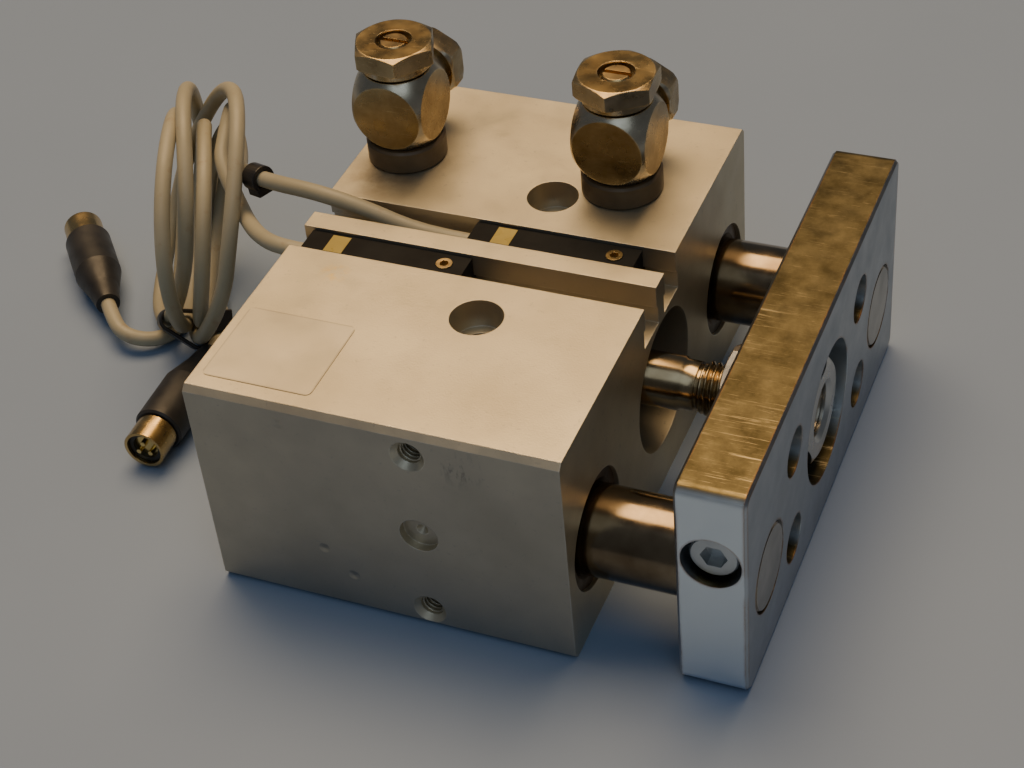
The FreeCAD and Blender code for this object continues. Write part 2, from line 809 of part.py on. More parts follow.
def sensor_screw(start, y):
    x = start + sensor_length - set_screw_inset
    upper = top - sensor_top_gap + set_screw_step
    screw = along_z(set_screw_radius, x, y, top - slot_depth, upper)
    return screw.cut(hexagon(set_screw_flats, set_screw_socket, Vector(x, y, upper - set_screw_socket), Z))


# ---------------------------------------------------------------- cables and plugs

def unit(vector):
    return vector * (1 / vector.Length)


def rounded_path(points):
    """Straight runs joined by arcs, each as large as its two runs allow."""
    knots = [Vector(*p) for p in points]
    edges = []
    here = knots[0]
    for before, corner, after in zip(knots, knots[1:], knots[2:]):
        back = before - corner
        ahead = after - corner
        turn = math.pi - back.getAngle(ahead)
        trim = 0.45 * min(back.Length, ahead.Length)
        radius = trim / math.tan(turn / 2)
        print("cable arc radius", round(radius, 1))
        enter = corner + unit(back) * trim
        leave = corner + unit(ahead) * trim
        toward = unit(unit(back) + unit(ahead))
        centre = corner + toward * math.hypot(radius, trim)
        middle = centre - toward * radius
        edges.append(Part.LineSegment(here, enter).toShape())
        edges.append(Part.Arc(enter, middle, leave).toShape())
        here = leave
    edges.append(Part.LineSegment(here, knots[-1]).toShape())
    return Part.Wire(edges)


def cable_tube(points):
    path = rounded_path(points)
    first = path.Edges[0]
    direction = first.tangentAt(first.FirstParameter)
    circle = Part.Wire([Part.makeCircle(cable_radius, Vector(*points[0]), direction)])
    tube = path.makePipeShell([circle], True, True)
    ratio = tube.Volume / (math.pi * cable_radius ** 2 * path.Length)
    print("cable length", round(path.Length, 1), "volume ratio", round(ratio, 4))
    return tube


def coil_placement():
    """Local X runs along the coil, local Z up in its middle plane and local Y across its turns."""
    lean = Rotation(X, coil_lean)
    yaw = Rotation(Z, coil_yaw)
    lift = coil_base_half * math.sin(math.radians(coil_lean)) + coil_lift
    return Placement(coil_base + Z * lift, yaw * lean)


def cable_coil():
    """Outer shape of the three upright turns: a ring that fans out from its tied lower end."""
    centre = Vector(0, -30, coil_outer)
    ring = cylinder(coil_outer, centre, 60, Y).cut(cylinder(coil_inner, centre - Y, 62, Y))
    spread = coil_base_half + 2 * coil_outer * math.tan(math.radians(coil_fan))
    corners = [(-coil_base_half, 0), (coil_base_half, 0), (spread, 2 * coil_outer), (-spread, 2 * coil_outer)]
    points = [Vector(-coil_outer - 1, y, z) for y, z in corners]
    wedge = Part.Face(Part.makePolygon(points + [points[0]])).extrude(X * (2 * coil_outer + 2))
    coil = ring.common(wedge)
    return placed(coil, coil_placement())


def coil_tie():
    """Cable tie round the turns near the table, with its head and tail."""
    angle = math.radians(tie_angle)
    middle = (coil_outer + coil_inner) / 2
    height = coil_outer + middle * math.sin(angle)
    half_turns = coil_base_half + (height + tie_reach) * math.tan(math.radians(coil_fan)) + tie_side_gap
    half_depth = (coil_outer - coil_inner) / 2 + tie_gap
    outer = box(-half_depth - tie_wall, half_depth + tie_wall, -half_turns - tie_wall, half_turns + tie_wall,
                -tie_width / 2, tie_width / 2)
    inner = box(-half_depth, half_depth, -half_turns, half_turns, -tie_width, tie_width)
    long_head, wide_head, deep_head = tie_head_size
    head_start = -half_depth - tie_head_back
    head = box(head_start, head_start + long_head, -half_turns - tie_wall - wide_head, -half_turns,
               -deep_head / 2, deep_head / 2)
    tail_start = -half_depth + tie_tail_inset
    tail = box(tail_start, tail_start + tie_tail_wall, -half_turns - tie_wall - tie_tail_length, -half_turns,
               -tie_width / 2, tie_width / 2)
    tie = outer.cut(inner).fuse([head.cut(inner), tail])
    tilt = Placement(Vector(middle * math.cos(angle), 0, height), Rotation(Y, -tie_angle))
    return placed(tie, coil_placement().multiply(tilt))


def lead_tie():
    """Small clip on the far sensor's cable where it reaches the coil."""
    first = Vector(*cable_lead_far[-2])
    second = Vector(*cable_lead_far[-1])
    way = unit(second - first)
    middle = first + (second - first) * lead_tie_place
    half = lead_tie_half_width
    reach = cable_radius + lead_tie_gap + lead_tie_wall
    block = box(-reach, reach, -reach, reach, -half, half)
    block = block.cut(cylinder(cable_radius + lead_tie_gap, Vector(0, 0, -half - 1), 2 * half + 2, Z))
    block.Placement = Placement(middle, Rotation(Z, way))
    return block


def plug_placement(lead, turn):
    end = Vector(*lead[-1])
    return Placement(Vector(end.x, end.y, plug_height), Rotation(Z, turn))


def plug_stations():
    cone = boot_length
    body = cone + plug_cone_length
    face = body + plug_body_length
    return cone, body, face


def plug_body(place):
    cone, body, face = plug_stations()
    sleeve_end = face + sleeve_gap + sleeve_length
    wall = sleeve_bore - socket_wall_gap
    wall_end = sleeve_end - socket_wall_step
    seat = face + insert_seat
    profile = [(0, boot_radius), (cone, boot_end_radius), (body, plug_radius),
               (face - plug_edge, plug_radius), (face, plug_radius - plug_edge), (face, wall),
               (wall_end, wall), (wall_end, insert_radius),
               (seat, insert_radius), (seat, 0.2)]
    return placed(turned(profile, Vector(0, 0, 0), X), place)


def plug_sleeve(place):
    face = plug_stations()[2]
    start = face + sleeve_gap
    return placed(ring_x(sleeve_radius, sleeve_bore, start, start + sleeve_length, 0, 0), place)


def plug_insert(place):
    face = plug_stations()[2]
    start = face + insert_seat
    shape = along_x(insert_radius, start, start + insert_step, 0, 0)
    for index in range(3):
        angle = math.radians(90 + 120 * index)
        y = pin_circle * math.cos(angle)
        z = pin_circle * math.sin(angle)
        shape = shape.fuse(along_x(pin_radius, start, start + insert_step + pin_length - insert_seat, y, z))
    return placed(shape, place)


# ---------------------------------------------------------------- assembly

def all_nodes():
    nodes = {
        "housing": housing(),
        "guide_bushes": guide_bushes(),
        "guide_wipers": guide_wipers(),
        "front_cap": front_cap(),
        "front_circlip": circlip(cap_face),
        "rear_cap": rear_cap(),
        "rear_circlip": circlip(rear + rear_recess_depth),
        "cap_o_rings": cap_o_rings(),
        "rod_bush": rod_bush(),
        "rod_seal": rod_seal(),
        "front_buffer": buffer(chamber_front - buffer_thickness),
        "rear_buffer": buffer(chamber_rear),
        "label": label(),
        "yoke_plate": yoke_plate(),
        "guide_rod_near": guide_rod(-1),
        "guide_rod_far": guide_rod(1),
        "clamp_sleeves": Part.makeCompound(clamp_sleeves(-1) + clamp_sleeves(1)),
        "clamp_screws": Part.makeCompound([clamp_screw(-1), clamp_screw(1)]),
        "piston_rod": piston_rod(),
        "jam_nut": hex_nut(nut_flats, jam_nut_thickness, Vector(jam_nut_back, 0, bore_height), X,
                           thread_radius, 0.0),
        "rod_nut": hex_nut(nut_flats, front_nut_thickness, Vector(nut_seat, 0, bore_height), X,
                           thread_radius, 30.0),
        "piston": piston(),
        "piston_seals": Part.makeCompound([piston_ring(ring_stations()[0], seal_length, seal_clearance),
                                           piston_ring(ring_stations()[3], seal_length, seal_clearance)]),
        "piston_wear_ring": piston_ring(ring_stations()[1], wear_ring_length, seal_clearance),
        "piston_magnet": piston_ring(ring_stations()[2], magnet_length, 2 * piston_clearance),
        "piston_screw": piston_screw(),
    }
    for name, x, turn in (("rear", valve_station_rear, cap_turn_rear),
                          ("front", valve_station_front, cap_turn_front)):
        nodes["valve_" + name + "_seal"] = valve_seal(x)
        nodes["valve_" + name + "_stem"] = valve_stem(x, turn)
        nodes["valve_" + name + "_needle"] = valve_needle(x)
        nodes["valve_" + name + "_body"] = valve_body(x)
        nodes["valve_" + name + "_union_nut"] = valve_union_nut(x)
        nodes["valve_" + name + "_nipple"] = valve_nipple(x)
    sensors = (("near", sensor_start_near, -slot_offset), ("far", sensor_start_far, slot_offset))
    for name, start, y in sensors:
        nodes["sensor_" + name] = sensor_body(start, y)
    nodes["sensor_windows"] = Part.makeCompound([sensor_window(start, y) for _, start, y in sensors])
    nodes["sensor_screws"] = Part.makeCompound([sensor_screw(start, y) for _, start, y in sensors])
    nodes["cable_near"] = cable_tube(cable_lead_near)
    nodes["cable_far"] = cable_tube(cable_lead_far)
    nodes["cable_coil"] = cable_coil()
    nodes["coil_tie"] = coil_tie()
    nodes["lead_tie"] = lead_tie()
    for name, lead, turn in (("near", plug_lead_near, plug_near_turn), ("far", plug_lead_far, plug_far_turn)):
        place = plug_placement(lead, turn)
        nodes["plug_lead_" + name] = cable_tube(lead)
        nodes["plug_body_" + name] = plug_body(place)
        nodes["plug_sleeve_" + name] = plug_sleeve(place)
        nodes["plug_insert_" + name] = plug_insert(place)
    return nodes


def main():
    os.makedirs("parts", exist_ok=True)
    for name, shape in all_nodes().items():
        shape.exportStep("parts/" + name + ".step")
        print(name, len(shape.Solids), "solids", round(shape.Volume, 1), "mm3", shape.isValid())


main()
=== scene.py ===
import json
import math

import bpy
from mathutils import Matrix, Vector

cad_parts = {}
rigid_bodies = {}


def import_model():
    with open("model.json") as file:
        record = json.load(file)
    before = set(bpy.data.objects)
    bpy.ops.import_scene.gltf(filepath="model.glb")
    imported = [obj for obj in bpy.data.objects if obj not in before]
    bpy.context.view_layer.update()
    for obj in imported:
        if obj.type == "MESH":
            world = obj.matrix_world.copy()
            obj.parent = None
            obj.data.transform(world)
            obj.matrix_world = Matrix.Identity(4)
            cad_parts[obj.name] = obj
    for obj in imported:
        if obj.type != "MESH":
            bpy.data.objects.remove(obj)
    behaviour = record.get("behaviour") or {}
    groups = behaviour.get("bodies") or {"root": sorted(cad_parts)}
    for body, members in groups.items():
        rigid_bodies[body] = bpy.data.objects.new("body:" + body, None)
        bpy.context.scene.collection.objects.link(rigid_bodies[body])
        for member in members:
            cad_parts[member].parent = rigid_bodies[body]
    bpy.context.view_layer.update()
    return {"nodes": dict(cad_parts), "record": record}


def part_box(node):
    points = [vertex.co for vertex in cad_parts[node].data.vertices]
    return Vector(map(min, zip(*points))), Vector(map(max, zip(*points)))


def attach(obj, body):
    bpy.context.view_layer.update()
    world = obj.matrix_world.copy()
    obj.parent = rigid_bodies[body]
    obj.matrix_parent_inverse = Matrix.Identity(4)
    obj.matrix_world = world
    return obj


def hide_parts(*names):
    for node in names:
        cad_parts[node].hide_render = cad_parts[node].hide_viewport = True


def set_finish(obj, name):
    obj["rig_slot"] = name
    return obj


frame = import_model()
nodes = frame["nodes"]
MM = 0.001
DOWN = Vector((0, 0, -1))


# ------------------------------------------------------------------ camera

CAMERA_PLACE = Vector((0.13136, -0.26464, 0.26460))
CAMERA_RIGHT = Vector((0.92526, 0.37070, -0.08048))
CAMERA_UP = Vector((-0.18531, 0.62683, 0.75680))
CAMERA_BACK = Vector((0.33099, -0.68532, 0.64867))
CAMERA_LENS = 72.83
SENSOR_WIDTH = 36.0


def place_camera():
    data = bpy.data.cameras.new("camera")
    data.sensor_width = SENSOR_WIDTH
    data.lens = CAMERA_LENS
    data.clip_start = 0.01
    data.clip_end = 20.0
    camera = bpy.data.objects.new("camera", data)
    bpy.context.scene.collection.objects.link(camera)
    turn = Matrix((CAMERA_RIGHT, CAMERA_UP, CAMERA_BACK)).transposed().to_4x4()
    camera.matrix_world = Matrix.Translation(CAMERA_PLACE) @ turn
    bpy.context.scene.camera = camera


# ------------------------------------------------------------------ helpers for pieces

def link(name, data, body, slot):
    obj = bpy.data.objects.new(name, data)
    bpy.context.scene.collection.objects.link(obj)
    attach(obj, body)
    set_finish(obj, slot)
    return obj


def mesh_piece(name, points, faces, body, slot, smooth=True):
    mesh = bpy.data.meshes.new(name)
    mesh.from_pydata([tuple(p) for p in points], [], faces)
    mesh.update()
    for polygon in mesh.polygons:
        polygon.use_smooth = smooth
    return link(name, mesh, body, slot)


def tube(name, points, radius, body, slot, resolution=4, sides=6):
    """Round tube along a smooth line; the line's own radius carries the thickness."""
    data = bpy.data.curves.new(name, "CURVE")
    data.dimensions = "3D"
    data.bevel_depth = 1.0
    data.bevel_resolution = sides
    data.resolution_u = resolution
    data.use_fill_caps = True
    line = data.splines.new("NURBS")
    line.points.add(len(points) - 1)
    for knot, point in zip(line.points, points):
        knot.co = (point[0], point[1], point[2], 1.0)
        knot.radius = radius
    line.order_u = 3
    line.use_endpoint_u = True
    return link(name, data, body, slot)


def ring_faces(rings, sides, outward):
    """Faces between rings of points that lie behind one another."""
    faces = []
    for ring in range(rings - 1):
        for index in range(sides):
            a = ring * sides + index
            b = ring * sides + (index + 1) % sides
            face = (a, b, b + sides, a + sides)
            faces.append(face if outward else (a, a + sides, b + sides, b))
    return faces


def soften(obj, width):
    bevel = obj.modifiers.new("soften", "BEVEL")
    bevel.width = width * MM
    bevel.segments = 2
    bevel.limit_method = "ANGLE"
    bevel.angle_limit = math.radians(35)


def sharpen(obj, degrees):
    """Smooth shading stops at edges sharper than this."""
    split = obj.modifiers.new("sharp", "EDGE_SPLIT")
    split.split_angle = math.radians(degrees)


def metres(points):
    return [Vector(p) * MM for p in points]


# ------------------------------------------------------------------ cords

CABLE_RADIUS = 1.55 * MM
CORD_SIDES = 8

# The coil stands on this place and leans across; its turns run up and along.
COIL_BASE = Vector((-77.5, 18.0, 0.0))
COIL_ALONG = Vector((-0.40, 0.917, 0.0))
COIL_ACROSS = Vector((0.917, 0.40, 0.0))

# Leads from each sensor to the coil and from the coil to each plug, in millimetres.
NEAR_LEAD = [(-31.9, -5.2, 41.4), (-38.0, -5.2, 41.4), (-44.3, -1.2, 39.6), (-49.8, 4.3, 37.6),
             (-55.2, 10.2, 37.2)]
FAR_LEAD = [(-3.7, 5.2, 41.8), (-14.0, 5.2, 41.8), (-24.5, 5.4, 45.0), (-35.0, 5.9, 46.6),
            (-45.5, 8.4, 45.0), (-55.3, 12.4, 43.2)]
NEAR_PLUG_LEAD = [(-76.3, 10.7, 1.9), (-76.2, 7.5, 2.0), (-77.9, 4.6, 2.5), (-80.8, 2.9, 3.2),
                  (-84.2, 2.8, 3.9), (-87.4, 4.7, 4.6), (-91.6, 9.4, 5.0)]
FAR_PLUG_LEAD = [(-73.2, 22.5, 2.0), (-70.5, 17.9, 2.5), (-66.6, 13.4, 3.8), (-63.6, 8.0, 5.0),
                 (-62.7, 1.0, 5.0)]

# Turns of each cord: angle in the coil, place across it at the bottom, lean, radius, lowest point
# and shift along the coil.
NEAR_TURNS = [(115, 3.0, 14.7, 19.8, 4.9, 0.7), (0, 3.8, 15.8, 21.3, 5.2, -0.8),
              (-90, 3.0, 15.7, 21.7, 5.2, -2.8), (-180, 1.8, 15.4, 21.0, 4.8, -3.1),
              (-270, 0.5, 12.9, 19.6, 4.9, -2.0), (-360, 0.2, 11.2, 19.0, 4.9, -2.3),
              (-450, 0.5, 7.0, 20.2, 4.8, -3.8), (-540, 1.1, 2.7, 21.7, 4.5, -4.7),
              (-630, -0.7, 6.5, 21.4, 4.5, -3.3), (-720, -2.3, 8.6, 20.9, 3.9, -3.0),
              (-785, -2.7, 8.0, 21.5, 2.8, -2.1), (-815, -2.0, 8.3, 22.4, 2.0, -1.4)]
FAR_TURNS = [(100, 2.6, 20.3, 19.5, 4.2, -2.2), (0, -0.2, 16.4, 21.2, 3.0, -1.9),
             (-90, 0.7, 17.6, 23.3, 1.6, -2.5), (-180, 4.0, 20.5, 25.2, 1.2, -2.7),
             (-270, -0.7, 20.3, 26.7, 1.8, -2.2), (-360, -7.3, 20.0, 22.9, 1.9, -1.9),
             (-450, -7.3, 18.3, 22.3, 2.5, 1.0), (-540, -1.4, 14.3, 23.0, 2.7, 2.7),
             (-630, 1.3, 6.7, 23.6, 2.2, 1.5), (-720, 4.4, 1.8, 23.4, 1.7, 0.9),
             (-785, 6.2, 4.0, 23.2, 1.6, -0.4)]


def turn_point(angle, start, end):
    part = (start[0] - angle) / (start[0] - end[0])
    across, lean, radius, low, along = [a + (b - a) * part for a, b in zip(start[1:], end[1:])]
    lean = math.radians(lean)
    upward = -DOWN * math.cos(lean) + COIL_ACROSS * math.sin(lean)
    angle = math.radians(angle)
    return (COIL_BASE + COIL_ACROSS * across + upward * (low + radius + radius * math.sin(angle))
            + COIL_ALONG * (along + radius * math.cos(angle)))


def turn_at(keys, angle):
    """Point of a cord's coil at an angle, in millimetres."""
    for start, end in zip(keys, keys[1:]):
        if end[0] <= angle:
            break
    return turn_point(angle, start, end)


def coil_turns(keys, step=15.0):
    first = keys[0][0]
    last = keys[-1][0]
    count = round((first - last) / step)
    return [turn_at(keys, first + (last - first) * index / count) for index in range(count + 1)]


def make_cord(name, lead, turns, plug_lead, replaced, plug_pieces):
    points = metres(lead + coil_turns(turns) + plug_lead)
    obj = tube(name, points, CABLE_RADIUS, "housing", "cable_jacket", sides=CORD_SIDES)
    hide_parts(*replaced)


def cords():
    make_cord("sensor_cord_near", NEAR_LEAD, NEAR_TURNS, NEAR_PLUG_LEAD,
              ["cable_near", "plug_lead_near", "cable_coil"],
              ["plug_body_near", "plug_sleeve_near", "plug_insert_near", coil_strap()])
    make_cord("sensor_cord_far", FAR_LEAD, FAR_TURNS, FAR_PLUG_LEAD, ["cable_far", "plug_lead_far"],
              ["plug_body_far", "plug_sleeve_far", "plug_insert_far", lead_clip()])


# ------------------------------------------------------------------ strap and clip on the cords

STRAP_ANGLE = -128
STRAP_PLAY = 0.1 * MM
STRAP_HALF_WIDTH = 1.7 * MM
STRAP_WALL = 0.8 * MM
STRAP_HEAD_HALF = (2.3 * MM, 2.2 * MM, 2.4 * MM)
STRAP_HEAD_OUT = 2.4 * MM
STRAP_HEAD_UP = 0.6 * MM
STRAP_TAIL_HALF = (3.6 * MM, 0.55 * MM, 1.6 * MM)
STRAP_TAIL_OUT = 5.0 * MM

CLIP_SHARE = 0.43
CLIP_PLAY = 0.15 * MM
CLIP_HALF_WIDTH = 1.8 * MM
CLIP_WALL = 0.9 * MM
CLIP_FOOT_HALF = (0.9 * MM, 1.9 * MM, 1.7 * MM)
CLIP_FOOT_DOWN = 2.3 * MM


def directions(step):
    angles = [math.radians(degrees) for degrees in range(0, 360, step)]
    return [Vector((math.cos(angle), math.sin(angle))) for angle in angles]


def block(centre, axes, half):
    """Corner points and faces of a box with the given half sizes along three axes."""
    points = []
    for i in (-1, 1):
        for j in (-1, 1):
            for k in (-1, 1):
                points.append(centre + axes[0] * half[0] * i + axes[1] * half[1] * j + axes[2] * half[2] * k)
    faces = [(0, 1, 3, 2), (4, 6, 7, 5), (0, 4, 5, 1), (2, 3, 7, 6), (0, 2, 6, 4), (1, 5, 7, 3)]
    return points, faces


def joined(parts):
    points = []
    faces = []
    for more_points, more_faces in parts:
        faces += [tuple(index + len(points) for index in face) for face in more_faces]
        points += more_points
    return points, faces


def band(outline, centre, first, second, along, half_width, wall):
    """Closed strap through (direction, point) pairs of an outline."""
    points = []
    faces = []
    for way, place in outline:
        for out, side in ((0, -1), (0, 1), (wall, 1), (wall, -1)):
            flat = place + way * out
            points.append(centre + first * flat.x + second * flat.y + along * half_width * side)
    count = len(outline)
    for index in range(count):
        here = index * 4
        after = (index + 1) % count * 4
        for corner in range(4):
            other = (corner + 1) % 4
            faces.append((here + corner, after + corner, after + other, here + other))
    return points, faces


def coil_strap():
    """Cable tie drawn tight round the turns at their lower near side, with its head and cut tail."""
    laps = [(keys, STRAP_ANGLE - 360 * lap) for keys in (NEAR_TURNS, FAR_TURNS) for lap in (0, 1)]
    strands = [turn_at(keys, angle) * MM for keys, angle in laps]
    along = turn_at(FAR_TURNS, STRAP_ANGLE - 361) - turn_at(FAR_TURNS, STRAP_ANGLE - 359)
    along.normalize()
    first = (COIL_ACROSS - along * COIL_ACROSS.dot(along)).normalized()
    second = along.cross(first)
    centre = sum(strands, Vector()) / len(strands)
    flat = [Vector(((p - centre).dot(first), (p - centre).dot(second))) for p in strands]
    outline = [(way, max(flat, key=lambda p: p.dot(way)) + way * (CABLE_RADIUS + STRAP_PLAY))
               for way in directions(9)]
    strap = band(outline, centre, first, second, along, STRAP_HALF_WIDTH, STRAP_WALL)
    reach = max(p.x for way, p in outline)
    head_place = centre + first * (reach + STRAP_HEAD_OUT) + second * STRAP_HEAD_UP
    head = block(head_place, (first, second, along), STRAP_HEAD_HALF)
    tail_way = (first * 0.75 - second * 0.66).normalized()
    tail_place = head_place + tail_way * STRAP_TAIL_OUT
    tail = block(tail_place, (tail_way, tail_way.cross(along), along), STRAP_TAIL_HALF)
    points, faces = joined([strap, head, tail])
    obj = mesh_piece("coil_strap", points, faces, "housing", "tie_nylon", smooth=False)
    soften(obj, 0.25)
    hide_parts("coil_tie")
    return obj


def lead_clip():
    """Narrow clip round the far cord where it reaches the coil."""
    start, end = metres(FAR_LEAD[-2:])
    along = (end - start).normalized()
    first = along.orthogonal().normalized()
    second = along.cross(first)
    centre = start + (end - start) * CLIP_SHARE
    outline = [(way, way * (CABLE_RADIUS + CLIP_PLAY)) for way in directions(12)]
    ring = band(outline, centre, first, second, along, CLIP_HALF_WIDTH, CLIP_WALL)
    below = (DOWN - along * DOWN.dot(along)).normalized()
    foot = block(centre + below * CLIP_FOOT_DOWN, (below, along.cross(below), along), CLIP_FOOT_HALF)
    points, faces = joined([ring, foot])
    obj = mesh_piece("lead_clip", points, faces, "housing", "tie_nylon", smooth=False)
    soften(obj, 0.2)
    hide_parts("lead_tie")
    return obj


# ------------------------------------------------------------------ threaded rod, outlet nuts, hole threads

ROD_CENTRE_Z = 22.5
ROD_RADIUS = 5.0
ROD_SIDES = 64
SPIGOT_RADIUS = 4.0
SPIGOT_HOLE = 3.05
PISTON_FRONT = 4.95
SHOULDER = 37.75
SHOULDER_CHAMFER = 0.5
COLLAR_RADIUS = 4.6
COLLAR_END = SHOULDER + 2.6
RELIEF_RADIUS = 4.1
RELIEF_END = SHOULDER + 3.2
THREAD_START = SHOULDER + 3.3
THREAD_PITCH = 1.25
THREAD_CREST = 4.97
THREAD_DEPTH = 0.68
THREAD_ENTRY = 0.9

NUT_LENGTH = 5.6
NUT_FLATS = 12.0
NUT_BORE = 2.6
NUT_SIDES = 48

HOLE_THREAD_X = 7.0
HOLE_THREAD_Y = 47.7
HOLE_THREAD_LEVELS = (("low", 4.1), ("high", 39.9))
HOLE_THREAD_RADIUS = 2.02 * MM
HOLE_THREAD_PITCH = 0.8 * MM
HOLE_THREAD_LENGTH = 8.0 * MM
HOLE_THREAD_WIRE = 0.2 * MM


def rod_ring(x, radius_of):
    points = []
    for index in range(ROD_SIDES):
        angle = 2 * math.pi * index / ROD_SIDES
        radius = radius_of(angle)
        points.append(Vector((x, radius * math.cos(angle), ROD_CENTRE_Z + radius * math.sin(angle))) * MM)
    return points


def thread_ridge(x, fade):
    """Radius of the thread round the rod at x; it fades out at both ends."""
    def ridge(angle):
        phase = (x / THREAD_PITCH - angle / (2 * math.pi)) % 1.0
        rise = min(1.0, max(0.0, (1 - abs(2 * phase - 1)) * 1.25))
        if fade < 1:
            return THREAD_CREST - THREAD_DEPTH + THREAD_DEPTH * rise * fade
        return THREAD_CREST - THREAD_DEPTH * (1 - rise)
    return ridge


def piston_rod():
    box_low, box_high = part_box("piston_rod")
    start = box_low[0] / MM
    end = box_high[0] / MM
    profile = [(start, SPIGOT_HOLE), (start, SPIGOT_RADIUS), (PISTON_FRONT, SPIGOT_RADIUS),
               (PISTON_FRONT, ROD_RADIUS), (SHOULDER - SHOULDER_CHAMFER, ROD_RADIUS),
               (SHOULDER, COLLAR_RADIUS), (COLLAR_END, COLLAR_RADIUS), (COLLAR_END, RELIEF_RADIUS),
               (RELIEF_END, RELIEF_RADIUS)]
    points = []
    for x, radius in profile:
        points += rod_ring(x, lambda angle: radius)
    steps = int((end - THREAD_START) / (THREAD_PITCH / 8))
    for index in range(steps + 1):
        x = THREAD_START + (end - THREAD_START) * index / steps
        fade = min(1.0, x - THREAD_START + 0.2, (end - x) / THREAD_ENTRY + 0.05)
        points += rod_ring(x, thread_ridge(x, fade))
    faces = ring_faces(len(points) // ROD_SIDES, ROD_SIDES, True)
    faces.append(tuple(range(ROD_SIDES))[::-1])
    faces.append(tuple(range(len(points) - ROD_SIDES, len(points))))
    obj = mesh_piece("piston_rod_threaded", points, faces, "carriage", "rod_steel")
    sharpen(obj, 40)
    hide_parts("piston_rod")


def hexagon_nut(base, length, flats, bore):
    """Hexagon along +Y from its base, with its ends turned down and a round bore, as points and faces."""
    corner = flats / math.sqrt(3)
    profile = [(0.0, bore), (0.0, flats / 2 - 0.1), (0.5, corner - 0.35), (1.1, corner),
               (length - 1.5, corner), (length - 0.7, corner - 0.5), (length, flats / 2 - 0.7),
               (length, bore), (0.0, bore)]
    points = []
    for along, turned in profile:
        for index in range(NUT_SIDES):
            angle = 2 * math.pi * index / NUT_SIDES
            facet = (angle + math.pi / 6) % (math.pi / 3) - math.pi / 6
            radius = min(turned, flats / 2 / math.cos(facet))
            points.append(base + Vector((radius * math.cos(angle), along, radius * math.sin(angle))) * MM)
    return points, ring_faces(len(profile), NUT_SIDES, False)


def union_nuts():
    """Outlet nuts, shorter than in the solids."""
    for name in ("rear", "front"):
        low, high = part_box("valve_%s_union_nut" % name)
        base = Vector(((low[0] + high[0]) / 2, low[1], (low[2] + high[2]) / 2))
        points, faces = hexagon_nut(base, NUT_LENGTH, NUT_FLATS, NUT_BORE)
        obj = mesh_piece("valve_%s_outlet_nut" % name, points, faces, "valve_" + name, "valve_nickel")
        sharpen(obj, 20)
        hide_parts("valve_%s_union_nut" % name, "valve_%s_nipple" % name)


def thread_coil(name, start, axis):
    """Helical ridge inside a hole, from its mouth along its axis."""
    axis = Vector(axis).normalized()
    side = axis.orthogonal().normalized()
    other = axis.cross(side)
    steps = 16
    points = []
    for index in range(int(steps * HOLE_THREAD_LENGTH / HOLE_THREAD_PITCH) + 1):
        angle = 2 * math.pi * index / steps
        along = HOLE_THREAD_PITCH * index / steps
        points.append(start + axis * along + side * HOLE_THREAD_RADIUS * math.cos(angle)
                      + other * HOLE_THREAD_RADIUS * math.sin(angle))
    tube(name, points, HOLE_THREAD_WIRE, "housing", "anodised_block", resolution=1, sides=1)


def hole_threads():
    for name, sign in (("near", -1), ("far", 1)):
        for level, z in HOLE_THREAD_LEVELS:
            start = Vector((HOLE_THREAD_X, sign * HOLE_THREAD_Y, z)) * MM
            thread_coil("side_thread_%s_%s" % (name, level), start, (0, -sign, 0))


# ------------------------------------------------------------------ materials

